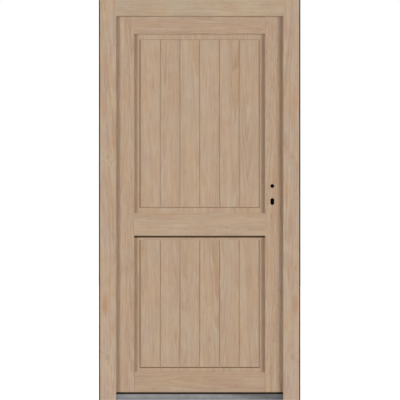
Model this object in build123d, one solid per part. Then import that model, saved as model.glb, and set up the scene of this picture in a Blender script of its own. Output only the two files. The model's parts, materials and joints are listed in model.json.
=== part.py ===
"""Side door: a softwood door leaf with two boarded panels, hung in a rebated frame with a metal threshold.

Millimetres. +X runs from the hinge jamb to the lock jamb, +Y from outside to inside, +Z up.
The origin lies on the wall face of the hinge jamb, at floor level, in the middle of the frame's depth.
"""
from build123d import *
import os

# Frame
FRAME_W = 1000.0
FRAME_H = 2000.0
FRAME_DEPTH = 68.0
FACE_W = 83.0          # width of the frame seen from outside
LIP_T = 15.0           # thickness of the lip that the leaf closes behind
LIP_COVER = 16.0       # lip beyond the rebate wall, at the hinge side and the head
LOCK_LIP_COVER = 18.0  # the lock edge swings wider, so its rebate is 2 mm wider
ARRIS = 1.0            # eased edges
STRIP_W = 6.0          # sealing strip let into the outer front edge of each jamb
STRIP_D = 20.0
STRIP_PROUD = 3.0      # it stands out, to be squeezed against the wall
GASKET_W = 8.0
GASKET_OUT = 3.0
GASKET_FROM_EDGE = 3.0
ROOT_W = 3.0           # root of each gasket, held in a groove
ROOT_DEEP = 5.0
ROOT_PLAY = 0.1

# Leaf
LEAF_T = 45.0
SEAL_GAP = 8.0         # lip to leaf, with the gasket in it
EDGE_GAP = 5.0
LOCK_EDGE_GAP = 7.0
STILE_W = 101.0
TOP_RAIL_H = 99.0
MID_RAIL_LOW = 821.5
MID_RAIL_H = 112.5
BOTTOM_RAIL_H = 100.5
LEAF_FOOT = 40.5       # lower edge of the leaf seen from outside
REAR_FOOT = 14.0       # lower edge of its rear lip

# Boarded panels
BOARDS = 6
BOARD_T = 18.0
MARGIN_T = 8.0         # thinned edge of the panel, which goes in the grooves
SIDE_MARGIN = 31.0
UPPER_TOP_MARGIN = 30.0
UPPER_LOW_MARGIN = 31.0
LOWER_TOP_MARGIN = 23.0
LOWER_LOW_MARGIN = 24.5
SHADOW_GAP = 10.0      # open gap under the middle rail
GROOVE_DEEP = 10.0
GROOVE_PLAY = 0.1
EDGE_IN = 8.0          # how far board edges and rail tongues enter the grooves
JOINT_GAP = 0.2
VEE = 2.0              # each board's half of a vee joint
VEE_DEEP = 3.0
FIELD_SLOPE = 5.0      # run of the slope round the raised field, outwards
TONGUE_T = 4.0
TONGUE_L = 5.5
BOARD_GROOVE = 6.2
BOARD_PLAY = 0.2

# Threshold
NOSE_Y = 14.0          # set back from the frame's outside face
NOSE_H = 9.0
STOP_Y = 27.5
STOP_T = 13.0
STOP_H = 30.0
PLATFORM_H = 8.0
WALL = 2.5
RIB = 1.0              # fine grooves along its treads
RIB_PITCH = 4.0
SEAL_W = 7.0
SEAL_H = 4.0

# Lock
HANDLE_Z = 1070.0
CENTRES = 72.0         # handle hole to cylinder hole
BACKSET = 65.0
HANDLE_R = 9.0
CYLINDER_R = 9.0
CYLINDER_SLOT = 17.0
CYLINDER_TALL = 33.0
CYLINDER_RAISE = 2.0   # the routed hole leaves room over the cylinder
CASE_T = 15.0
CASE_DEEP = 80.0
CASE_UP = 45.0         # above the handle hole
CASE_DOWN = 120.0
CASE_FIT = 0.2
CASE_KEY_PLAY = 1.0    # the case's cylinder recess is this much wider than the keyhole
SPINDLE = 8.0
FOREND_T = 3.0
FOREND_W = 20.0
FOREND_UP = 80.0
FOREND_DOWN = 155.0
LATCH_H = 32.0
BOLT_H = 34.0
BOLT_W = 11.0
BOLT_IN = 20.0         # how far latch and bolt lie in the case
STRIKE_SHORT = 15.0    # strike plate shorter than the lock plate at each end
STRIKE_PLAY = 3.0
POCKET = 18.0
BOLT_PLAY = 0.3
WEB = 2.0

# Hinges
HINGE_UP = 180.0       # lowest hinge above the leaf's foot
HINGE_DOWN = 238.0     # foot of the highest hinge below the leaf's top
KNUCKLE_R = 7.0
PIN_R = 3.5
RUNNING = 0.05
KNUCKLE_L = 45.0
KNUCKLE_GAP = 0.4
FLAG_W = 30.0
FLAG_T = 3.0
FLAG_BACK = 1.0        # flag edge to the wood's edge
AXIS_OUT = 7.5         # hinge axis, beyond the inside face
PIN_SHORT = 5.0
BORE_SHORT = 4.0
KNUCKLE_EASE = 1.0

YF = -FRAME_DEPTH / 2
YB = FRAME_DEPTH / 2
LIP_Y = YF + LIP_T
LEAF_Y = LIP_Y + SEAL_GAP
LEAF_BACK = LEAF_Y + LEAF_T
MID_Y = (LEAF_Y + LEAF_BACK) / 2
STRIP_IN = STRIP_W - STRIP_PROUD
LIP_L = FACE_W
LIP_R = FRAME_W - FACE_W
LIP_Z = FRAME_H - FACE_W
HINGE_WALL = LIP_L - LIP_COVER
LOCK_WALL = LIP_R + LOCK_LIP_COVER
HEAD_WALL = LIP_Z + LIP_COVER
LEAF_L = HINGE_WALL + EDGE_GAP
LEAF_R = LOCK_WALL - LOCK_EDGE_GAP
LEAF_TOP = HEAD_WALL - EDGE_GAP
TOP_RAIL_LOW = LEAF_TOP - TOP_RAIL_H
MID_RAIL_TOP = MID_RAIL_LOW + MID_RAIL_H
BOTTOM_RAIL_TOP = LEAF_FOOT + BOTTOM_RAIL_H
UPPER_FIELD = (MID_RAIL_TOP + UPPER_LOW_MARGIN, TOP_RAIL_LOW - UPPER_TOP_MARGIN)
LOWER_FIELD = (BOTTOM_RAIL_TOP + LOWER_LOW_MARGIN, MID_RAIL_LOW - LOWER_TOP_MARGIN)
OPEN_L = LEAF_L + STILE_W
OPEN_R = LEAF_R - STILE_W
FIELD_L = OPEN_L + SIDE_MARGIN
FIELD_R = OPEN_R - SIDE_MARGIN
PITCH = (FIELD_R - FIELD_L) / BOARDS
FACE_Y = MID_Y - BOARD_T / 2
REAR_Y = MID_Y + BOARD_T / 2
EDGE_Y0 = MID_Y - MARGIN_T / 2
EDGE_Y1 = MID_Y + MARGIN_T / 2
LOCK_X = LEAF_R - BACKSET
CYLINDER_Z = HANDLE_Z - CENTRES
CASE_Z = (HANDLE_Z - CASE_DOWN, HANDLE_Z + CASE_UP)
FOREND_Z = (HANDLE_Z - FOREND_DOWN, HANDLE_Z + FOREND_UP)
LATCH_Z = (HANDLE_Z - LATCH_H / 2, HANDLE_Z + LATCH_H / 2)
BOLT_Z = (CYLINDER_Z - BOLT_H / 2, CYLINDER_Z + BOLT_H / 2)
HINGE_LOW = LEAF_FOOT + HINGE_UP
HINGE_TOP = LEAF_TOP - HINGE_DOWN
HINGE_Z = (HINGE_LOW, (HINGE_LOW + HINGE_TOP) / 2, HINGE_TOP)
AXIS_X = (HINGE_WALL + LEAF_L) / 2
AXIS_Y = YB + AXIS_OUT

os.makedirs("parts", exist_ok=True)


def save(shape, name):
    export_step(shape, f"parts/{name}.step")


def block(x0, x1, y0, y1, z0, z1):
    return Pos((x0 + x1) / 2, (y0 + y1) / 2, (z0 + z1) / 2) * Box(x1 - x0, y1 - y0, z1 - z0)


def upright(points, z0, z1):
    face = make_face(Polyline(*[(x, y, z0) for x, y in points], close=True))
    return extrude(face, amount=z1 - z0, dir=(0, 0, 1))


def crosswise(points, x0, x1):
    face = make_face(Polyline(*[(x0, y, z) for y, z in points], close=True))
    return extrude(face, amount=x1 - x0, dir=(1, 0, 0))


def rod_y(x, z, r, y0, y1):
    return Pos(x, (y0 + y1) / 2, z) * Rot(90, 0, 0) * Cylinder(r, y1 - y0)


def rod_x(y, z, r, x0, x1):
    return Pos((x0 + x1) / 2, y, z) * Rot(0, 90, 0) * Cylinder(r, x1 - x0)


def round_plate(x0, x1, y, w, z0, z1):
    body = block(x0, x1, y - w / 2, y + w / 2, z0 + w / 2, z1 - w / 2)
    return body + rod_x(y, z0 + w / 2, w / 2, x0, x1) + rod_x(y, z1 - w / 2, w / 2, x0, x1)


def ease_up(x, y, dx, dy, z0, z1):
    return upright([(x, y), (x + dx, y), (x, y + dy)], z0, z1)


def ease_across(y, z, dy, dz, x0, x1):
    return crosswise([(y, z), (y + dy, z), (y, z + dz)], x0, x1)


def rod_z(x, y, r, z0, z1):
    return Pos(x, y, (z0 + z1) / 2) * Cylinder(r, z1 - z0)


# Jambs run the full height, and each has a lip outside and a rebate inside.
hinge_jamb = upright(
    [(STRIP_IN, YF), (LIP_L, YF), (LIP_L, LIP_Y), (HINGE_WALL, LIP_Y), (HINGE_WALL, YB), (0, YB),
     (0, YF + STRIP_D), (STRIP_IN, YF + STRIP_D)], 0, FRAME_H)
lock_jamb = upright(
    [(LIP_R, YF), (FRAME_W - STRIP_IN, YF), (FRAME_W - STRIP_IN, YF + STRIP_D), (FRAME_W, YF + STRIP_D),
     (FRAME_W, YB), (LOCK_WALL, YB), (LOCK_WALL, LIP_Y), (LIP_R, LIP_Y)], 0, FRAME_H)
x0 = -STRIP_PROUD
x1 = FRAME_W - STRIP_IN
save(block(x0, x0 + STRIP_W, YF, YF + STRIP_D, 0, FRAME_H), "hinge_side_sealing_strip")
save(block(x1, x1 + STRIP_W, YF, YF + STRIP_D, 0, FRAME_H), "lock_side_sealing_strip")

# Their front edges are eased as far up as the head.
hinge_jamb -= ease_up(LIP_L, YF, -ARRIS, ARRIS, 0, LIP_Z)
lock_jamb -= ease_up(LIP_R, YF, ARRIS, ARRIS, 0, LIP_Z)

# The head sits between the jambs and is cut round their lips.
head = block(LIP_L, LIP_R, YF, LIP_Y, LIP_Z, FRAME_H)
head += block(HINGE_WALL, LOCK_WALL, LIP_Y, YB, HEAD_WALL, FRAME_H)
head -= ease_across(YF, LIP_Z, ARRIS, ARRIS, LIP_L, LIP_R)

# Gaskets on the rear of the lips, each with its root in a groove.
gasket_z0 = STOP_H + SEAL_H
gasket_z1 = HEAD_WALL - GASKET_FROM_EDGE
lead = GASKET_W / 4


def gasket_shape(start):
    end = start + GASKET_W
    return [(start, 0), (end, 0), (end, GASKET_OUT / 3), (end - lead, GASKET_OUT),
            (start + lead, GASKET_OUT), (start, GASKET_OUT / 3)]


for name, jamb_lip, way in (("hinge_side_gasket", LIP_L, -1), ("lock_side_gasket", LIP_R, 1)):
    near = jamb_lip + way * GASKET_FROM_EDGE
    start = min(near, near + way * GASKET_W)
    root = start + GASKET_W / 2
    half = ROOT_W / 2
    strip = upright([(x, LIP_Y + out) for x, out in gasket_shape(start)], gasket_z0, gasket_z1)
    strip += block(root - half, root + half, LIP_Y - ROOT_DEEP, LIP_Y, gasket_z0, gasket_z1)
    half += ROOT_PLAY
    groove = block(root - half, root + half, LIP_Y - ROOT_DEEP - ROOT_PLAY, LIP_Y, gasket_z0, gasket_z1)
    if way < 0:
        hinge_jamb -= groove
    else:
        lock_jamb -= groove
    save(strip, name)
head_x0 = LIP_L - GASKET_FROM_EDGE + 1
head_x1 = LIP_R + GASKET_FROM_EDGE - 1
start = LIP_Z + GASKET_FROM_EDGE
root = start + GASKET_W / 2
strip = crosswise([(LIP_Y + out, z) for z, out in gasket_shape(start)], head_x0, head_x1)
strip += block(LIP_L, LIP_R, LIP_Y - ROOT_DEEP, LIP_Y, root - ROOT_W / 2, root + ROOT_W / 2)
half = ROOT_W / 2 + ROOT_PLAY
head -= block(LIP_L, LIP_R, LIP_Y - ROOT_DEEP - ROOT_PLAY, LIP_Y, root - half, root + half)
save(strip, "head_gasket")
save(head, "head")

# Hollow metal threshold: nose, stop that the leaf closes behind, and low rear platform.
nose_y = YF + NOSE_Y
stop_y = YF + STOP_Y
stop_back = stop_y + STOP_T
threshold = block(LIP_L, LIP_R, nose_y, stop_y, 0, NOSE_H)
threshold += block(HINGE_WALL, LOCK_WALL, stop_y, stop_back, 0, STOP_H)
threshold += block(HINGE_WALL, LOCK_WALL, stop_back, YB, 0, PLATFORM_H)
x0 = HINGE_WALL
x1 = LOCK_WALL
threshold -= block(LIP_L, LIP_R, nose_y + WALL, stop_y, WALL, NOSE_H - WALL)
threshold -= block(x0, x1, stop_y + WALL, stop_back - WALL, WALL, STOP_H - WALL)
threshold -= block(x0, x1, stop_back, YB - WALL, WALL, PLATFORM_H - WALL)
threshold -= ease_across(nose_y, NOSE_H, ARRIS, -ARRIS, LIP_L, LIP_R)
threshold -= ease_across(stop_y, STOP_H, ARRIS, -ARRIS, x0, x1)
for i in range(3):
    y = nose_y + RIB_PITCH * (i + 1)
    threshold -= block(LIP_L, LIP_R, y - RIB / 2, y + RIB / 2, NOSE_H - RIB, NOSE_H)
for i in range(4):
    y = YB - RIB_PITCH * (i + 1)
    threshold -= block(x0, x1, y - RIB / 2, y + RIB / 2, PLATFORM_H - RIB, PLATFORM_H)
seal_y = (stop_y + stop_back) / 2
half = ROOT_W / 2 + ROOT_PLAY
threshold -= block(x0, x1, seal_y - half, seal_y + half, STOP_H - WALL, STOP_H)
save(threshold, "threshold")
seal_top = STOP_H + SEAL_H
seal = crosswise([(seal_y - SEAL_W / 2, STOP_H), (seal_y + SEAL_W / 2, STOP_H),
                  (seal_y + SEAL_W / 4, seal_top), (seal_y - SEAL_W / 4, seal_top)], x0, x1)
seal += block(x0, x1, seal_y - ROOT_W / 2, seal_y + ROOT_W / 2, STOP_H - WALL, STOP_H)
save(seal, "threshold_seal")

# Leaf: two stiles and three rails, grooved for the boards.
g0 = EDGE_Y0 - GROOVE_PLAY
g1 = EDGE_Y1 + GROOVE_PLAY
foot = [(LEAF_Y, LEAF_FOOT), (MID_Y, LEAF_FOOT), (MID_Y, REAR_FOOT), (LEAF_BACK, REAR_FOOT)]
side = foot + [(LEAF_BACK, LEAF_TOP), (LEAF_Y, LEAF_TOP)]
hinge_stile = crosswise(side, LEAF_L, OPEN_L)
hinge_stile -= block(OPEN_L - GROOVE_DEEP, OPEN_L, g0, g1, LEAF_FOOT, LEAF_TOP)
lock_stile = crosswise(side, OPEN_R, LEAF_R)
lock_stile -= block(OPEN_R, OPEN_R + GROOVE_DEEP, g0, g1, LEAF_FOOT, LEAF_TOP)

for z0, z1 in ((BOTTOM_RAIL_TOP, MID_RAIL_LOW), (MID_RAIL_TOP, TOP_RAIL_LOW)):
    for y, dy in ((LEAF_Y, ARRIS), (LEAF_BACK, -ARRIS)):
        hinge_stile -= ease_up(OPEN_L, y, -ARRIS, dy, z0, z1)
        lock_stile -= ease_up(OPEN_R, y, ARRIS, dy, z0, z1)


def ease_rail(rail, z, dz):
    for y, dy in ((LEAF_Y, ARRIS), (LEAF_BACK, -ARRIS)):
        rail -= ease_across(y, z, dy, dz, OPEN_L, OPEN_R)
    return rail


def tongues(z0, z1):
    left = block(OPEN_L - EDGE_IN, OPEN_L, EDGE_Y0, EDGE_Y1, z0, z1)
    right = block(OPEN_R, OPEN_R + EDGE_IN, EDGE_Y0, EDGE_Y1, z0, z1)
    return left + right


top_rail = block(OPEN_L, OPEN_R, LEAF_Y, LEAF_BACK, TOP_RAIL_LOW, LEAF_TOP)
top_rail -= block(OPEN_L, OPEN_R, g0, g1, TOP_RAIL_LOW, TOP_RAIL_LOW + GROOVE_DEEP)
top_rail += tongues(TOP_RAIL_LOW + GROOVE_DEEP, LEAF_TOP)
save(ease_rail(top_rail, TOP_RAIL_LOW, ARRIS), "top_rail")
middle_rail = block(OPEN_L, OPEN_R, LEAF_Y, LEAF_BACK, MID_RAIL_LOW, MID_RAIL_TOP)
middle_rail -= block(OPEN_L, OPEN_R, g0, g1, MID_RAIL_LOW, MID_RAIL_LOW + GROOVE_DEEP)
middle_rail -= block(OPEN_L, OPEN_R, g0, g1, MID_RAIL_TOP - GROOVE_DEEP, MID_RAIL_TOP)
middle_rail += tongues(MID_RAIL_LOW + GROOVE_DEEP, MID_RAIL_TOP - GROOVE_DEEP)
middle_rail = ease_rail(middle_rail, MID_RAIL_LOW, ARRIS)
save(ease_rail(middle_rail, MID_RAIL_TOP, -ARRIS), "middle_rail")
bottom_rail = crosswise(foot + [(LEAF_BACK, BOTTOM_RAIL_TOP), (LEAF_Y, BOTTOM_RAIL_TOP)], OPEN_L, OPEN_R)
bottom_rail -= block(OPEN_L, OPEN_R, g0, g1, BOTTOM_RAIL_TOP - GROOVE_DEEP, BOTTOM_RAIL_TOP)
bottom_rail += tongues(LEAF_FOOT, BOTTOM_RAIL_TOP - GROOVE_DEEP)
save(ease_rail(bottom_rail, BOTTOM_RAIL_TOP, -ARRIS), "bottom_rail")


# Tongued and grooved boards with a vee joint; a slope runs round the raised field,
# and the margin outside it is thinned to go in the grooves.
def board_section(i):
    xl = FIELD_L + i * PITCH
    xr = xl + PITCH
    a = xl + JOINT_GAP / 2
    b = xr - JOINT_GAP / 2
    t0 = MID_Y - TONGUE_T / 2
    t1 = MID_Y + TONGUE_T / 2
    vee_y0 = FACE_Y + VEE_DEEP
    vee_y1 = REAR_Y - VEE_DEEP
    if i == BOARDS - 1:
        edge = OPEN_R + EDGE_IN
        foot_x = xr + FIELD_SLOPE
        right = [(xr, FACE_Y), (foot_x, EDGE_Y0), (edge, EDGE_Y0), (edge, EDGE_Y1),
                 (foot_x, EDGE_Y1), (xr, REAR_Y)]
    else:
        right = [(b - VEE, FACE_Y), (b, vee_y0), (b, t0), (xr + TONGUE_L, t0), (xr + TONGUE_L, t1),
                 (b, t1), (b, vee_y1), (b - VEE, REAR_Y)]
    if i == 0:
        edge = OPEN_L - EDGE_IN
        foot_x = xl - FIELD_SLOPE
        left = [(xl, REAR_Y), (foot_x, EDGE_Y1), (edge, EDGE_Y1), (edge, EDGE_Y0),
                (foot_x, EDGE_Y0), (xl, FACE_Y)]
    else:
        deep = xl + BOARD_GROOVE
        left = [(a + VEE, REAR_Y), (a, vee_y1), (a, t1 + BOARD_PLAY), (deep, t1 + BOARD_PLAY),
                (deep, t0 - BOARD_PLAY), (a, t0 - BOARD_PLAY), (a, vee_y0), (a + VEE, FACE_Y)]
    return right + left


def board(i, low, high, field):
    z0 = low - GROOVE_DEEP
    z1 = high + EDGE_IN
    plank = upright(board_section(i), z0, z1)
    x0 = OPEN_L - GROOVE_DEEP
    x1 = OPEN_R + GROOVE_DEEP
    for face, edge in ((FACE_Y, EDGE_Y0), (REAR_Y, EDGE_Y1)):
        for end, way in ((field[0], -1), (field[1], 1)):
            foot_z = end + way * FIELD_SLOPE
            far_z = end + way * FRAME_H
            plank -= crosswise([(face, far_z), (face, end), (edge, foot_z), (edge, far_z)], x0, x1)
    return plank


for i in range(BOARDS):
    save(board(i, MID_RAIL_TOP, TOP_RAIL_LOW, UPPER_FIELD), f"upper_board_{i + 1}")
    lower = board(i, BOTTOM_RAIL_TOP, MID_RAIL_LOW, LOWER_FIELD)
    x0 = OPEN_L - GROOVE_DEEP
    x1 = OPEN_R + GROOVE_DEEP
    lower -= block(x0, x1, EDGE_Y0 - 1, MID_Y + 0.5, MID_RAIL_LOW - SHADOW_GAP, MID_RAIL_LOW + GROOVE_DEEP)
    save(lower, f"lower_board_{i + 1}")


# Lock let into the lock stile, with its plate flush in the edge.
def keyhole(grow, y0, y1):
    top = CYLINDER_Z + CYLINDER_RAISE
    slot_end = top + CYLINDER_R - CYLINDER_TALL + CYLINDER_SLOT / 2
    half = CYLINDER_SLOT / 2 + grow
    hole = rod_y(LOCK_X, top, CYLINDER_R + grow, y0, y1)
    hole += block(LOCK_X - half, LOCK_X + half, y0, y1, slot_end, top)
    hole += rod_y(LOCK_X, slot_end, half, y0, y1)
    return hole


case_y0 = MID_Y - CASE_T / 2
case_y1 = MID_Y + CASE_T / 2
case_x1 = LEAF_R - FOREND_T
case_x0 = case_x1 - CASE_DEEP
fit = CASE_FIT
lock_stile -= block(case_x0 - fit, case_x1, case_y0 - fit, case_y1 + fit, CASE_Z[0] - fit, CASE_Z[1] + fit)
lock_stile -= round_plate(case_x1, LEAF_R, MID_Y, FOREND_W, FOREND_Z[0], FOREND_Z[1])
lock_stile -= rod_y(LOCK_X, HANDLE_Z, HANDLE_R, LEAF_Y - 1, LEAF_BACK + 1)
lock_stile -= keyhole(0, LEAF_Y - 1, LEAF_BACK + 1)
save(lock_stile, "lock_stile")

case = block(case_x0, case_x1, case_y0, case_y1, CASE_Z[0], CASE_Z[1])
deep = CASE_T / 2 - WEB / 2
for y0, y1 in ((case_y0 - 1, case_y0 + deep), (case_y1 - deep, case_y1 + 1)):
    half = SPINDLE / 2
    case -= block(LOCK_X - half, LOCK_X + half, y0, y1, HANDLE_Z - half, HANDLE_Z + half)
    case -= keyhole(CASE_KEY_PLAY, y0, y1)
forend = round_plate(case_x1, LEAF_R, MID_Y, FOREND_W, FOREND_Z[0], FOREND_Z[1])
for name, (z0, z1) in (("latch_bolt", LATCH_Z), ("dead_bolt", BOLT_Z)):
    y0 = MID_Y - BOLT_W / 2
    y1 = MID_Y + BOLT_W / 2
    p = BOLT_PLAY
    window = block(case_x1 - BOLT_IN, LEAF_R + 1, y0 - p, y1 + p, z0 - p, z1 + p)
    case -= window
    forend -= window
    save(block(case_x1 - BOLT_IN, LEAF_R, y0, y1, z0, z1), name)
save(case, "lock_case")
save(forend, "lock_forend")

# Strike plate flush in the rebate of the lock jamb, with pockets behind its windows.
strike_z0 = FOREND_Z[0] + STRIKE_SHORT
strike_z1 = FOREND_Z[1] - STRIKE_SHORT
strike = round_plate(LOCK_WALL, LOCK_WALL + FOREND_T, MID_Y, FOREND_W, strike_z0, strike_z1)
lock_jamb -= round_plate(LOCK_WALL, LOCK_WALL + FOREND_T, MID_Y, FOREND_W, strike_z0, strike_z1)
half = BOLT_W / 2 + STRIKE_PLAY / 2
for z0, z1 in (LATCH_Z, BOLT_Z):
    low = z0 - STRIKE_PLAY
    high = z1 + STRIKE_PLAY
    window = block(LOCK_WALL - 1, LOCK_WALL + POCKET, MID_Y - half, MID_Y + half, low, high)
    strike -= window
    lock_jamb -= window
save(strike, "strike_plate")
save(hinge_jamb, "hinge_jamb")
save(lock_jamb, "lock_jamb")
save(hinge_stile, "hinge_stile")

# Flag hinges on the inside: the frame flag carries the pin, the leaf flag turns on it.
for name, z in zip(("bottom", "middle", "top"), HINGE_Z):
    split = z + KNUCKLE_L
    flag_x = HINGE_WALL - FLAG_BACK
    frame_flag = rod_z(AXIS_X, AXIS_Y, KNUCKLE_R, z, split)
    frame_flag = chamfer(frame_flag.edges().group_by(Axis.Z)[0], KNUCKLE_EASE)
    frame_flag += block(flag_x - FLAG_W, flag_x, YB, YB + FLAG_T, z, split)
    frame_flag += rod_z(AXIS_X, AXIS_Y, PIN_R, split, split + KNUCKLE_L - PIN_SHORT)
    save(frame_flag, f"{name}_hinge_frame_flag")
    low = split + KNUCKLE_GAP
    flag_x = LEAF_L + FLAG_BACK
    leaf_flag = rod_z(AXIS_X, AXIS_Y, KNUCKLE_R, low, low + KNUCKLE_L)
    leaf_flag = chamfer(leaf_flag.edges().group_by(Axis.Z)[-1], KNUCKLE_EASE)
    leaf_flag += block(flag_x, flag_x + FLAG_W, YB, YB + FLAG_T, low, low + KNUCKLE_L)
    leaf_flag -= rod_z(AXIS_X, AXIS_Y, PIN_R + RUNNING, low, low + KNUCKLE_L - BORE_SHORT)
    save(leaf_flag, f"{name}_hinge_leaf_flag")
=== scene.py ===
import json
import math

import bmesh
import bpy
from mathutils import Matrix, Vector


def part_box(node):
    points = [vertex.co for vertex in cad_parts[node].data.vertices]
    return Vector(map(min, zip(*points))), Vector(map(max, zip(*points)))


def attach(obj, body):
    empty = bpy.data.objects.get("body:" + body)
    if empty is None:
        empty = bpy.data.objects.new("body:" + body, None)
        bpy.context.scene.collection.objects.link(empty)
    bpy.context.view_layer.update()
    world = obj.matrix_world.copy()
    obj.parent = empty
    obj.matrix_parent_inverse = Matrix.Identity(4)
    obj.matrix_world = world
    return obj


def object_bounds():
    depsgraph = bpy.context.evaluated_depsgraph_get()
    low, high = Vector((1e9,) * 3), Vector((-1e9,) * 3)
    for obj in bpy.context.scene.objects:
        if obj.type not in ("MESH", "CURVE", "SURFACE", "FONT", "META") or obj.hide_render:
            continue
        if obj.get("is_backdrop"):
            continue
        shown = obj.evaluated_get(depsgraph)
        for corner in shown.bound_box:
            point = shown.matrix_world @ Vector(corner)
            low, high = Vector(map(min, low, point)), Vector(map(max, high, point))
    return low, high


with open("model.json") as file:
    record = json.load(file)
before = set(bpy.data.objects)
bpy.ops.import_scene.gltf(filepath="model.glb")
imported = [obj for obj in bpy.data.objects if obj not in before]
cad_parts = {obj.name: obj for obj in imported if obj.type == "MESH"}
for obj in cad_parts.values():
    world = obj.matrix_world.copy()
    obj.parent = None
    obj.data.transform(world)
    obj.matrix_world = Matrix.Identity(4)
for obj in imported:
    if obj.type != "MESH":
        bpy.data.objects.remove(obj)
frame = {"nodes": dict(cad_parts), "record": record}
cad_low, cad_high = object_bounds()
nodes = frame["nodes"]
scene = bpy.context.scene


class Graph:
    """Short calls for building a node tree."""

    def __init__(self, tree):
        self.tree = tree

    def node(self, kind, **values):
        made = self.tree.nodes.new(kind)
        for key, value in values.items():
            setattr(made, key, value)
        return made

    def put(self, socket, value):
        if isinstance(value, bpy.types.NodeSocket):
            self.tree.links.new(value, socket)
        else:
            socket.default_value = value

    def feed(self, made, values):
        for socket, value in zip(made.inputs, values):
            self.put(socket, value)
        return made.outputs[0]

    def math(self, operation, *values):
        return self.feed(self.node("ShaderNodeMath", operation=operation), values)

    def times(self, a, b):
        return self.math("MULTIPLY", a, b)

    def plus(self, a, b):
        return self.math("ADD", a, b)

    def scaled(self, value, by, offset):
        return self.math("MULTIPLY_ADD", value, by, offset)

    def outside(self, value, low, high):
        return self.plus(self.math("LESS_THAN", value, low), self.math("GREATER_THAN", value, high))

    def combine(self, *values):
        return self.feed(self.node("ShaderNodeCombineXYZ"), values)

    def coordinates(self):
        made = self.node("ShaderNodeSeparateXYZ")
        self.put(made.inputs[0], self.node("ShaderNodeTexCoord").outputs["Object"])
        return made.outputs[0], made.outputs[1], made.outputs[2]

    def turned(self):
        """How far a face is turned to the side and downwards, from 0 to 1."""
        made = self.node("ShaderNodeSeparateXYZ")
        self.put(made.inputs[0], self.node("ShaderNodeTexCoord").outputs["Normal"])
        return self.math("ABSOLUTE", made.outputs[0]), self.times(made.outputs[2], -1.0)

    def length(self, *values):
        made = self.node("ShaderNodeVectorMath", operation="LENGTH")
        self.put(made.inputs[0], self.combine(*values))
        return made.outputs["Value"]

    def noise(self, place, scales, seed=0.0, detail=2.0, rough=0.5):
        """Noise with its own number of features per metre along each axis, from -0.5 to 0.5."""
        lanes = [self.scaled(p, s, seed * (k + 1)) for k, (p, s) in enumerate(zip(place, scales))]
        made = self.node("ShaderNodeTexNoise", noise_dimensions="3D")
        self.put(made.inputs["Vector"], self.combine(*lanes))
        made.inputs["Scale"].default_value = 1.0
        made.inputs["Detail"].default_value = detail
        made.inputs["Roughness"].default_value = rough
        return self.plus(made.outputs[0], -0.5)

    def ramp(self, value, start, end, low=0.0, high=1.0):
        made = self.node("ShaderNodeMapRange", interpolation_type="SMOOTHSTEP")
        return self.feed(made, (value, start, end, low, high))

    def mix(self, factor, a, b, blend="MIX"):
        made = self.node("ShaderNodeMix", data_type="RGBA", blend_type=blend)
        self.put(made.inputs["Factor"], factor)
        self.put(made.inputs[6], a)
        self.put(made.inputs[7], b)
        return made.outputs[2]

    def bump(self, height, strength, distance):
        made = self.node("ShaderNodeBump")
        made.inputs["Strength"].default_value = strength
        made.inputs["Distance"].default_value = distance
        self.put(made.inputs["Height"], height)
        return made.outputs[0]


def new_material(name):
    mat = bpy.data.materials.new(name)
    mat.use_nodes = True
    g = Graph(mat.node_tree)
    g.tree.nodes.clear()
    bsdf = g.node("ShaderNodeBsdfPrincipled")
    g.put(g.node("ShaderNodeOutputMaterial").inputs[0], bsdf.outputs[0])
    return mat, g, bsdf


def rgba(colour, by=1.0):
    return tuple(min(1.0, c * by) for c in colour) + (1.0,)


def dress(node, mat):
    obj = nodes[node]
    obj.data.materials.clear()
    obj.data.materials.append(mat)


# Spruce. Each piece is cut from a trunk whose pith runs behind it, so the rings meet at its edges and ends.
EARLY = (0.476, 0.352, 0.249)      # wide pale part of a year's growth
LATE = (0.366, 0.235, 0.134)
LATE_SHARE = 0.46
KNOT = (0.290, 0.160, 0.085)
KNOT_SHARE = 0.26
RESIN = (0.460, 0.250, 0.135)
DARK_JOINT_AND_SHADE = (0.150, 0.075, 0.030)   # painted shade on the panels' slopes, edges and margins, and the dark line in open joints
PAINTED_DARK = (0.060, 0.032, 0.011)     # painted shade under the middle rail, in the foot's rebate and round holes
SEED_STEP = 3.17                   # keeps the pieces' noises apart

# Layers of grain, as features per metre across it, in depth and along it
BEND = (9, 9, 1.1)
WAVE = (22, 22, 2.6)
FIBRE = (520, 520, 12)
STRIPE = (105, 105, 5.0)
THREAD = (250, 250, 15.0)
FLECK = (200, 200, 28)
WARM = (17, 17, 5.0)
PINK = (20, 20, 10.0)
YEARS = (95, 0.4, 0)               # along the radius and along the grain

# Knots, in their radii
OVAL = 1.5                         # a knot is longer along the grain
KNOT_EDGE = (0.55, 1.15)
KNOT_PUSH = 1.2                    # how far the rings move out of its way
KNOT_REACH = (0.2, 4.0)

# What the layers do
RING = 0.0034                      # width of a year's growth
LATE_RISE = (0.25, 0.88)           # shares of a ring
LATE_FALL = (0.93, 1.0)
YEAR_MEAN = 0.65                   # strength of late wood
YEAR_SPAN = 1.6
FLECKED = (0.11, 0.27)             # only the peaks of that layer show
BEND_BY = 0.036
WAVE_BY = 0.011
FIBRE_SHADE = 0.16
STRIPE_SHADE = 0.28
THREAD_SHADE = 0.27
YEARS_SHADE = -0.16
FLECK_SHADE = -0.15
WARM_HUE = (0.10, 0.0, -0.22)      # red, green and blue
PINK_HUE = (-0.06, -0.20, -0.18)
BROWNING = (0.72, 1.04, 1.32)      # dark streaks keep more of their red and less of their blue
ROUGH = (0.70, 0.56)               # of early and late wood
SHEEN = 0.25
RELIEF = 0.0004
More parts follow.
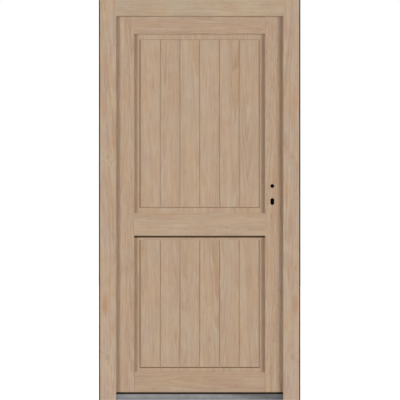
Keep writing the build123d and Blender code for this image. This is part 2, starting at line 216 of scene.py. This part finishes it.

# Stain in streaks; painted shade and painted light on the panels; dark lines in open joints; painted shade
# in recesses and round holes
STREAK_CORE = 0.1                  # share of a streak's width before it fades
STREAK_GRAIN = 1.2
GENTLE = 0.3                       # a face counts as a slope from here
STEEP = 0.6
SIDE_SHADE = 0.07                  # share of painted shade on the margins beside a raised field
SLOPE_SHADE = 0.47                 # and on the slopes there
EDGE_REACH = 0.0025                     # how far the painted shade reaches in from the sides of the field
# share of painted shade on the raised face along the field's sides
EDGE_SHADE = 0.4
RAISED = 0.0085                    # a panel's raised faces lie further than this from its middle
LIGHT_ABOVE_TONE = 1.35                      # tone of the painted light on faces turned up
JOINT = 0.0010                     # width of the dark line in an open joint
RIM = 0.0018                       # how far the painted shade reaches into the wood round a hole
SOFT = 0.001                       # soft edge of a painted dark band


def oval(g, place, across, along, half_w, half_l):
    """Distance from the middle of an oval: 1 on its outline."""
    return g.length(g.scaled(place[0], 1 / half_w, -across / half_w),
                    g.scaled(place[2], 1 / half_l, -along / half_l))


def trunk(g, place, middle, pith, lean, knots, shift):
    """Distance from the pith, bent round knots, and how deep in a knot the place lies."""
    u, y, v = place
    mid_u, mid_y, mid_v = middle
    from_mid = g.plus(v, -mid_v)
    across = g.scaled(from_mid, lean[0], g.plus(u, -mid_u - pith[0]))
    across = g.scaled(g.noise(place, BEND, shift), BEND_BY, across)
    depth = g.scaled(from_mid, lean[1], g.plus(y, -mid_y - pith[1]))
    depth = g.scaled(g.noise(place, WAVE, shift + 5), WAVE_BY, depth)
    radius = g.length(across, depth)
    spot = 0.0
    for knot_u, knot_v, knot_r in knots:
        away = oval(g, place, knot_u, knot_v, knot_r, knot_r * OVAL)
        radius = g.plus(radius, g.ramp(away, *KNOT_REACH, knot_r * KNOT_PUSH, 0.0))
        spot = g.math("MAXIMUM", spot, g.ramp(away, *KNOT_EDGE, 1.0, 0.0))
    return radius, spot


def streaked(g, colour, place, stripe, streaks):
    for across, along, half_w, half_l, share, stain in streaks:
        away = oval(g, place, across, along, half_w, half_l)
        stain_and_shade_share = g.times(g.ramp(away, STREAK_CORE, 1.0, 1.0, 0.0), g.scaled(stripe, STREAK_GRAIN, share))
        colour = g.mix(stain_and_shade_share, colour, rgba(stain))
    return colour


def painted_panel_shade(g, colour, x, y, mid_y, left, right, margin, shade_below, light_above):
    """left and right: sides of the raised field. The next two values: shares of painted shade on its
    margins and
    on faces turned down. The last: share of painted light on faces turned up."""
    # painted shade on the side slopes, along the field's sides, on the margins and on faces turned down
    side, down = g.turned()
    slopes = g.times(g.outside(x, left, right), g.ramp(side, GENTLE, STEEP, SIDE_SHADE, SLOPE_SHADE))
    faces = g.outside(y, mid_y - RAISED, mid_y + RAISED)
    edges = g.times(g.times(faces, g.outside(x, left + EDGE_REACH, right - EDGE_REACH)), EDGE_SHADE)
    margins = g.scaled(faces, -margin, margin)
    sides = g.math("MAXIMUM", g.math("MAXIMUM", slopes, edges), margins)
    shaded = g.plus(sides, g.ramp(down, GENTLE, STEEP, 0.0, shade_below))
    # painted light: faces turned up are made lighter
    colour = g.mix(g.ramp(down, -STEEP, -GENTLE, light_above, 0.0), colour, rgba(EARLY, LIGHT_ABOVE_TONE))
    return g.mix(shaded, colour, rgba(DARK_JOINT_AND_SHADE))


def joint_lines(g, colour, x, left, right):
    """left and right: x of the joints at the piece's ends."""
    return g.mix(g.outside(x, left + JOINT, right - JOINT), colour, rgba(DARK_JOINT_AND_SHADE))


def painted_dark_band(g, colour, y, z, y_from, z_from, z_to):
    # painted shade: a dark band where a recess lies in shade
    height = g.times(g.ramp(z, z_from, z_from + SOFT), g.ramp(z, z_to, z_to + SOFT, 1.0, 0.0))
    stain_and_shade_share = g.times(g.ramp(y, y_from, y_from + SOFT), height)
    return g.mix(stain_and_shade_share, colour, rgba(PAINTED_DARK))


def hole_rim(g, colour, x, z, hole_x, z_from, z_to, radius):
    """Painted shade round an upright hole with round ends, centred at z_from and z_to."""
    over = g.math("MAXIMUM", g.plus(z, -z_to), 0.0)
    under = g.math("MAXIMUM", g.scaled(z, -1.0, z_from), 0.0)
    away = g.length(g.plus(x, -hole_x), g.plus(over, under))
    return g.mix(g.ramp(away, radius, radius + RIM, 1.0, 0.0), colour, rgba(PAINTED_DARK))


def spruce(name, along, seed, middle, pith, lean=(0.004, 0.010), level=(1, 1, 1), tint=1.0, contrast=1.0,
           knots=(), streaks=(), panel_shade=None, ends=None, dark_band=None, holes=()):
    """along: axis of the grain.
    pith: its place across the grain and in depth, from the piece's middle. lean: its slope.
    level: tint of the whole piece. tint, contrast: strength of its patches and of its streaks.
    knots: (across, along, radius). streaks: (across, along, half width, half length, share, colour).
    The three keywords after streaks: the last values of the panel's painted shade and light, of joint_lines
    and of
    the painted dark band in a recess. holes: the last values of hole_rim, painted shade round a hole, for
    each hole."""
    mat, g, bsdf = new_material(name)
    x, y, z = g.coordinates()
    mid_x, mid_y, mid_z = middle
    if along == "z":
        place, middle = (x, y, z), (mid_x, mid_y, mid_z)
    else:
        place, middle = (z, y, x), (mid_z, mid_y, mid_x)
    shift = seed * SEED_STEP

    radius, spot = trunk(g, place, middle, pith, lean, knots, shift)
    ring = g.math("FRACT", g.times(radius, 1 / RING))
    late = g.times(g.ramp(ring, *LATE_RISE), g.ramp(ring, *LATE_FALL, 1.0, 0.0))
    years = g.noise((radius, g.plus(place[2], -middle[2]), 0.0), YEARS, shift, 1.0)
    late = g.times(late, g.scaled(years, YEAR_SPAN, YEAR_MEAN))
    fibre = g.noise(place, FIBRE, shift, 3.0, 0.6)
    stripe = g.noise(place, STRIPE, shift + 2)
    thread = g.noise(place, THREAD, shift + 8)
    fleck = g.ramp(g.noise(place, FLECK, shift + 6, 1.0), *FLECKED)
    warm = g.noise(place, WARM, shift + 3)
    pink = g.noise(place, PINK, shift + 4)

    shade = g.scaled(fibre, FIBRE_SHADE, 1.0)
    for layer, strength in ((stripe, STRIPE_SHADE), (thread, THREAD_SHADE), (years, YEARS_SHADE),
                            (fleck, FLECK_SHADE)):
        shade = g.times(shade, g.scaled(layer, strength * contrast, 1.0))
    hue = []
    for warm_by, pink_by, whole, power in zip(WARM_HUE, PINK_HUE, level, BROWNING):
        part = g.plus(g.scaled(warm, warm_by * tint, 1.0), g.times(pink, pink_by * tint))
        hue.append(g.times(g.times(part, whole), g.math("POWER", shade, power)))
    colour = g.mix(g.times(late, LATE_SHARE), rgba(EARLY), rgba(LATE))
    colour = g.mix(1.0, colour, g.combine(*hue), "MULTIPLY")
    colour = streaked(g, colour, place, stripe, streaks)
    if knots:
        colour = g.mix(g.times(spot, KNOT_SHARE), colour, rgba(KNOT))
    if panel_shade:
        colour = painted_panel_shade(g, colour, x, y, mid_y, *panel_shade)
    if ends:
        colour = joint_lines(g, colour, x, *ends)
    if dark_band:
        colour = painted_dark_band(g, colour, y, z, *dark_band)
    for hole in holes:
        colour = hole_rim(g, colour, x, z, *hole)
    g.put(bsdf.inputs["Base Color"], colour)
    g.put(bsdf.inputs["Roughness"], g.ramp(g.plus(fibre, late), -0.3, 0.9, *ROUGH))
    bsdf.inputs["Specular IOR Level"].default_value = SHEEN
    g.put(bsdf.inputs["Normal"], g.bump(g.scaled(late, 0.5, fibre), 0.25, RELIEF))
    return mat


def jamb_marks(wall_x, inwards, knots, resin, lines, shares):
    """Knots, resin stains and dark lines of a jamb, at these distances from its wall face.
    shares: of the two upper lines."""
    def at(distance):
        return wall_x + inwards * distance

    return dict(knots=[(at(knots[0]), 1.215, 0.009), (at(knots[1]), 0.215, 0.011)],
                streaks=[(at(resin[0]), 0.476, 0.021, 0.082, 0.62, RESIN),
                         (at(resin[1]), 1.477, 0.018, 0.075, 0.36, RESIN),
                         (at(lines[0]), 0.450, 0.002, 0.210, 0.45, LATE),
                         (at(lines[1]), 0.440, 0.002, 0.190, 0.35, LATE),
                         (at(lines[2]), 1.420, 0.002, 0.200, shares[0], LATE),
                         (at(lines[3]), 1.400, 0.002, 0.210, shares[1], LATE)])


stile_low, stile_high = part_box("hinge_stile")
leaf_mid = (stile_low.y + stile_high.y) / 2

# Painted shade: in the rebate in the leaf's foot, and in the gap under the middle rail with the groove over
# it
LEAF_FOOT = 0.0405                 # lower edge of the leaf seen from outside
FOOT_CLEAR = 0.0003                # the edge itself stays unpainted
FOOT_FROM = 0.001                  # in front of the leaf's middle
UNDER_ALL = -0.01
GAP_FROM = 0.0025                  # in front of the leaf's middle
GAP_H = 0.0105
OVER_BOARDS = 1.0
low_foot = (leaf_mid - FOOT_FROM, UNDER_ALL, LEAF_FOOT - FOOT_CLEAR)
under_middle_rail = (leaf_mid - GAP_FROM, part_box("middle_rail")[0].z - GAP_H, OVER_BOARDS)

# Keyhole: the centres of its round ends lie this far under the handle hole's
KEYHOLE_TOP = 0.070
KEYHOLE_FOOT = 0.0855
KEYHOLE_R = 0.0087
bore = next(m for m in frame["record"]["mounts"] if m["name"] == "handle_bore_outside")
bore_x = bore["pos_m"][0]
bore_z = bore["pos_m"][2]
# painted shade round the handle hole and the keyhole
lock_holes = [(bore_x, bore_z, bore_z, bore["dims"]["r_mm"] / 1000),
              (bore_x, bore_z - KEYHOLE_FOOT, bore_z - KEYHOLE_TOP, KEYHOLE_R)]

hinge_marks = jamb_marks(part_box("hinge_jamb")[0].x, 1, knots=(0.042, 0.040), resin=(0.0275, 0.022),
                         lines=(0.031, 0.049, 0.034, 0.044), shares=(0.35, 0.40))
lock_marks = jamb_marks(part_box("lock_jamb")[1].x, -1, knots=(0.040, 0.038), resin=(0.0205, 0.023),
                        lines=(0.032, 0.043, 0.028, 0.038), shares=(0.40, 0.35))
STILE = dict(along="z", contrast=1.4, level=(0.99, 0.98, 0.98), dark_band=low_foot)
RAIL_LEVEL = (0.970, 0.948, 0.938)
WOOD = {
    "hinge_jamb": dict(hinge_marks, along="z", seed=1, pith=(0.035, 0.12), tint=1.7,
                       level=(1.025, 1.04, 1.065)),
    "lock_jamb": dict(lock_marks, along="z", seed=2, pith=(-0.030, 0.11), tint=1.7,
                      level=(1.02, 1.04, 1.08)),
    "head": dict(along="x", seed=3, pith=(0.02, 0.13), tint=1.3, level=(0.96, 1.008, 1.0)),
    "hinge_stile": dict(STILE, seed=4, pith=(0.05, 0.10)),
    "lock_stile": dict(STILE, seed=5, pith=(-0.06, 0.10), holes=lock_holes),
    "top_rail": dict(along="x", seed=6, pith=(0.03, 0.12), contrast=1.3, level=RAIL_LEVEL),
    "middle_rail": dict(along="x", seed=7, pith=(-0.02, 0.12), level=(0.975, 0.966, 0.958),
                        knots=[(0.861, 0.637, 0.006)]),
    "bottom_rail": dict(along="x", seed=8, pith=(0.01, 0.14), level=RAIL_LEVEL, dark_band=low_foot,
                        ends=(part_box("hinge_stile")[1].x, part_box("lock_stile")[0].x)),
}
BOARDS = 6
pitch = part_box("upper_board_3")[0].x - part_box("upper_board_2")[0].x
field_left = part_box("upper_board_2")[0].x - pitch
field_right = field_left + BOARDS * pitch
BOARD = dict(along="z", tint=1.1)
# Boards get painted shade round their raised fields; the lower ones also get painted light on faces turned
# up and painted shade in the gap under the middle rail
for i in range(BOARDS):
    side = -1 if i % 2 else 1
    WOOD[f"upper_board_{i + 1}"] = dict(
        BOARD, seed=11 + i, pith=(0.03 * side, 0.075), lean=(0.006 * side, 0.012), contrast=0.9,
        panel_shade=(field_left, field_right, 0.02, 0.23, 0.0))
    WOOD[f"lower_board_{i + 1}"] = dict(
        BOARD, seed=21 + i, pith=(-0.03 * side, 0.070), lean=(-0.005 * side, 0.014),
        panel_shade=(field_left, field_right, 0.055, 0.70, 0.75), dark_band=under_middle_rail)
for node, how in WOOD.items():
    low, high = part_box(node)
    dress(node, spruce("spruce_" + node, middle=(low + high) / 2, **how))


# Metals, rubber and foam
BRUSH = (900, 900, 10)             # features per metre across the lines, in depth and along them
CLOUD = (30, 30, 30)
BROAD = (14, 14, 14)


def brushed(name, colour, rough, along, contrast=0.15, sweep=None):
    """sweep: (slope, start, end, share) of a painted dark reflection, a slow darkening along x, which leans
    with height.
    """
    mat, g, bsdf = new_material(name)
    x, y, z = g.coordinates()
    lanes = (z, y, x) if along == "x" else (x, y, z)
    lines = g.noise(lanes, BRUSH, 1.0, 3.0, 0.6)
    cloud = g.noise((x, y, z), CLOUD, 2.0, 2.0)
    tone = g.ramp(g.plus(cloud, lines), -0.35, 0.35)
    finish = g.mix(tone, rgba(colour, 1 - contrast), rgba(colour, 1 + contrast))
    if sweep:
        slope, start, end, share = sweep
        dark = g.ramp(g.scaled(z, slope, x), start, end, 0.0, share)
        finish = g.mix(dark, finish, (0, 0, 0, 1))
    g.put(bsdf.inputs["Base Color"], finish)
    g.put(bsdf.inputs["Roughness"], g.ramp(lines, -0.25, 0.25, rough - 0.06, rough + 0.08))
    bsdf.inputs["Metallic"].default_value = 1.0
    g.put(bsdf.inputs["Normal"], g.bump(lines, 0.2, 0.00006))
    return mat


def matt(name, colour, grain, rough, relief, specular):
    """grain: pores per metre. relief: their depth in metres."""
    mat, g, bsdf = new_material(name)
    place = g.coordinates()
    pores = g.noise(place, (grain, grain, grain), 1.0, 3.0, 0.6)
    broad = g.noise(place, BROAD, 2.0)
    tone = g.scaled(broad, 0.5, pores)
    g.put(bsdf.inputs["Base Color"], g.mix(g.ramp(tone, -0.3, 0.3), rgba(colour, 0.7), rgba(colour, 1.3)))
    g.put(bsdf.inputs["Roughness"], g.ramp(pores, -0.2, 0.2, rough - 0.05, rough + 0.08))
    bsdf.inputs["Specular IOR Level"].default_value = specular
    g.put(bsdf.inputs["Normal"], g.bump(pores, 0.4, relief))
    return mat


# the threshold's aluminium carries a painted dark reflection
aluminium = brushed("anodised_aluminium", (0.222, 0.225, 0.229), 0.40, "x", 0.10, (7.5, 0.72, 0.98, 0.45))
zinc = brushed("zinced_steel", (0.36, 0.37, 0.38), 0.42, "z", 0.20)
steel = brushed("bright_steel", (0.34, 0.34, 0.335), 0.45, "z")
black = matt("black_case", (0.006, 0.0055, 0.005), 400.0, 0.8, 0.0001, 0.05)
gasket = matt("black_rubber", (0.012, 0.012, 0.012), 900.0, 0.65, 0.0002, 0.15)
foam = matt("dark_foam", (0.030, 0.022, 0.015), 700.0, 0.9, 0.0006, 0.05)
FINISH = {"threshold": aluminium, "lock_case": black, "threshold_seal": gasket, "hinge_side_gasket": gasket,
          "lock_side_gasket": gasket, "head_gasket": gasket, "hinge_side_sealing_strip": foam,
          "lock_side_sealing_strip": foam, "lock_forend": steel, "latch_bolt": steel, "dead_bolt": steel,
          "strike_plate": steel}
for node in nodes:
    if node.endswith("_flag"):
        FINISH[node] = zinc
for node, mat in FINISH.items():
    dress(node, mat)


# Countersunk cross-head screws. A head's own sizes are in radii.
SIDES = 32
SKIRT = (0.9, -0.2)                # radius and height
RIM_RADIUS = 1.0
CROWN = 0.86
DOME = 0.10                        # how far the head's middle stands up
CROSS_TOP = (0.52, 0.13)           # half length and half width of its arms
CROSS_FOOT = (0.42, 0.10)
RECESS = 0.45


def cross(arm, half, height):
    """Outline of a plus sign."""
    corner = [(half, half), (half, arm), (-half, arm), (-half, half), (-arm, half), (-arm, -half),
              (-half, -half), (-half, -arm), (half, -arm), (half, -half), (arm, -half), (arm, half)]
    return [(x, y, height) for x, y in corner]


def circle(radius, height):
    turns = [2 * math.pi * k / SIDES for k in range(SIDES)]
    return [(radius * math.cos(t), radius * math.sin(t), height) for t in turns]


def screw(name, place, out, radius, body, mat, turn):
    """A head seated at place and facing along out, with its recess cut as geometry."""
    bm = bmesh.new()
    skirt, rim, crown, lip, pit = [
        [bm.verts.new(Vector(p) * radius) for p in loop]
        for loop in (circle(*SKIRT), circle(RIM_RADIUS, 0.0), circle(CROWN, DOME), cross(*CROSS_TOP, DOME),
                     cross(*CROSS_FOOT, -RECESS))]
    for lower, upper in ((skirt, rim), (rim, crown), (lip, pit)):
        for k in range(len(lower)):
            n = (k + 1) % len(lower)
            bm.faces.new((lower[k], lower[n], upper[n], upper[k]))
    bm.faces.new(pit)
    bm.faces.new(skirt)
    rims = [bm.edges.get((loop[k], loop[k - 1])) for loop in (crown, lip) for k in range(len(loop))]
    bmesh.ops.triangle_fill(bm, use_beauty=True, edges=rims)
    bmesh.ops.recalc_face_normals(bm, faces=bm.faces)
    mesh = bpy.data.meshes.new(name)
    bm.to_mesh(mesh)
    bm.free()
    facing = Vector(out).to_track_quat("Z", "Y").to_matrix().to_4x4()
    mesh.transform(Matrix.Translation(place) @ facing @ Matrix.Rotation(turn, 4, "Z"))
    mesh.materials.append(mat)
    obj = bpy.data.objects.new(name, mesh)
    scene.collection.objects.link(obj)
    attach(obj, body)


SEAT = 0.0001                      # heads stand this far off their plates
INSET = 0.012                      # from the edges and ends of plates
FLAG_T = 0.003
FLAG_SCREW_UP = (0.011, 0.034)
FLAG_SCREW_R = 0.0038
PLATE_SCREW_R = 0.0040
for which in ("bottom", "middle", "top"):
    for body in ("frame", "leaf"):
        low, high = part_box(f"{which}_hinge_{body}_flag")
        flag_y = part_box("hinge_stile")[1].y + FLAG_T
        x = low.x + INSET if body == "frame" else high.x - INSET
        for k, up in enumerate(FLAG_SCREW_UP):
            screw(f"{which}_{body}_flag_screw_{k + 1}", (x, flag_y + SEAT, low.z + up), (0, 1, 0),
                  FLAG_SCREW_R, body, zinc, 0.4 + 0.9 * k)
for node, body, side in (("lock_forend", "leaf", 1), ("strike_plate", "frame", -1)):
    low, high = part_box(node)
    x = high.x + SEAT if side > 0 else low.x - SEAT
    for k, z in enumerate((low.z + INSET, high.z - INSET)):
        screw(f"{node}_screw_{k + 1}", (x, (low.y + high.y) / 2, z), (side, 0, 0), PLATE_SCREW_R,
              body, steel, 0.3 + k)


# Studio: white to the eye and in reflections, with its own soft light from above and behind
def seen(g):
    path = g.node("ShaderNodeLightPath")
    ray = g.math("MAXIMUM", path.outputs["Is Camera Ray"], path.outputs["Is Glossy Ray"])
    return g.math("MAXIMUM", ray, path.outputs["Is Transmission Ray"])


AMBIENT = 0.022
FROM_ABOVE = 0.20
FROM_BEHIND = 0.50
FILL = (1.0, 0.58, 0.27)           # warm, so that shadows on the wood are brown
WHITE = (1, 1, 1, 1)
world = bpy.data.worlds.new("studio")
scene.world = world
world.use_nodes = True
g = Graph(world.node_tree)
g.tree.nodes.clear()
way = g.node("ShaderNodeSeparateXYZ")
g.put(way.inputs[0], g.node("ShaderNodeTexCoord").outputs["Generated"])
above = g.scaled(g.math("MAXIMUM", way.outputs[2], 0.0), FROM_ABOVE, AMBIENT)
behind = g.times(g.math("MAXIMUM", way.outputs[1], 0.0), FROM_BEHIND)
soft = g.combine(*[g.scaled(above, part, behind) for part in FILL])
sky = g.node("ShaderNodeBackground")
g.put(sky.inputs["Color"], g.mix(seen(g), soft, WHITE))
g.put(g.node("ShaderNodeOutputWorld").inputs[0], sky.outputs[0])

FLOOR_SIZE = 40.0
FLOOR_DROP = 0.0005
FLOOR_SEEN = (0.86, 0.86, 0.86)
FLOOR_DARK = (0.04, 0.04, 0.04)    # little lamplight comes back from it
FLOOR_FILL = 0.022                 # even light from below
FLOOR_GLOW = 0.62                  # lifts the lit floor just to white, so that shadows stay
bm = bmesh.new()
bmesh.ops.create_grid(bm, x_segments=1, y_segments=1, size=FLOOR_SIZE)
mesh = bpy.data.meshes.new("floor")
bm.to_mesh(mesh)
bm.free()
floor = bpy.data.objects.new("floor", mesh)
floor.location = ((cad_low.x + cad_high.x) / 2, 0.0, -FLOOR_DROP)
scene.collection.objects.link(floor)
mat, g, bsdf = new_material("pale_floor")
g.put(bsdf.inputs["Base Color"], g.mix(seen(g), rgba(FLOOR_DARK), rgba(FLOOR_SEEN)))
bsdf.inputs["Roughness"].default_value = 0.9
bsdf.inputs["Specular IOR Level"].default_value = 0.0
g.put(bsdf.inputs["Emission Color"], g.mix(seen(g), rgba(FILL), WHITE))
g.put(bsdf.inputs["Emission Strength"], g.scaled(seen(g), FLOOR_GLOW - FLOOR_FILL, FLOOR_FILL))
mesh.materials.append(mat)
floor.visible_shadow = False       # the low front lamps reach the whole height evenly
floor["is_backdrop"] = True


LAMP_AWAY = 8
FRONT_HEIGHT = 2
FRONT_SPREAD = 9
REAR_HEIGHT = 24
REAR_SPREAD = 20


def sun(name, azimuth, height, strength, spread):
    """azimuth: degrees from straight in front, positive to the right. height: degrees above level.
    spread: degrees that the lamp covers in the sky."""
    lamp = bpy.data.lights.new(name, "SUN")
    lamp.energy = strength
    lamp.angle = math.radians(spread)
    a, h = math.radians(azimuth), math.radians(height)
    towards = Vector((math.sin(a) * math.cos(h), -math.cos(a) * math.cos(h), math.sin(h)))
    obj = bpy.data.objects.new(name, lamp)
    obj.rotation_euler = towards.to_track_quat("Z", "Y").to_euler()
    obj.location = towards * LAMP_AWAY
    scene.collection.objects.link(obj)


# The front lamps stand in low rows, so that shadows are soft to the side and short below the edges.
for k, azimuth in enumerate((38, 46, 54)):
    sun(f"right_front_{k + 1}", azimuth, FRONT_HEIGHT, 0.757, FRONT_SPREAD)
for k, azimuth in enumerate((-37, -46)):
    sun(f"left_front_{k + 1}", azimuth, FRONT_HEIGHT, 0.861, FRONT_SPREAD)
sun("right_rear", 138, REAR_HEIGHT, 1.70, REAR_SPREAD)
sun("left_rear", -142, REAR_HEIGHT, 1.35, REAR_SPREAD)

# A long lens, square to the door; the view is just less than the frame's height.
DISTANCE = 30.0
VIEW = 1.997
VIEW_X = 0.50175                   # its middle lies a little right of the door's
cam = bpy.data.cameras.new("camera")
cam.sensor_fit = "HORIZONTAL"
cam.sensor_width = 36.0
cam.lens = cam.sensor_width * DISTANCE / VIEW
cam.clip_end = 200.0
camera = bpy.data.objects.new("camera", cam)
camera.location = (VIEW_X, cad_low.y - DISTANCE, cad_high.z / 2)
camera.rotation_euler = (math.pi / 2, 0, 0)
scene.collection.objects.link(camera)
scene.camera = camera
scene.view_settings.view_transform = "Standard"

low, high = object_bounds()
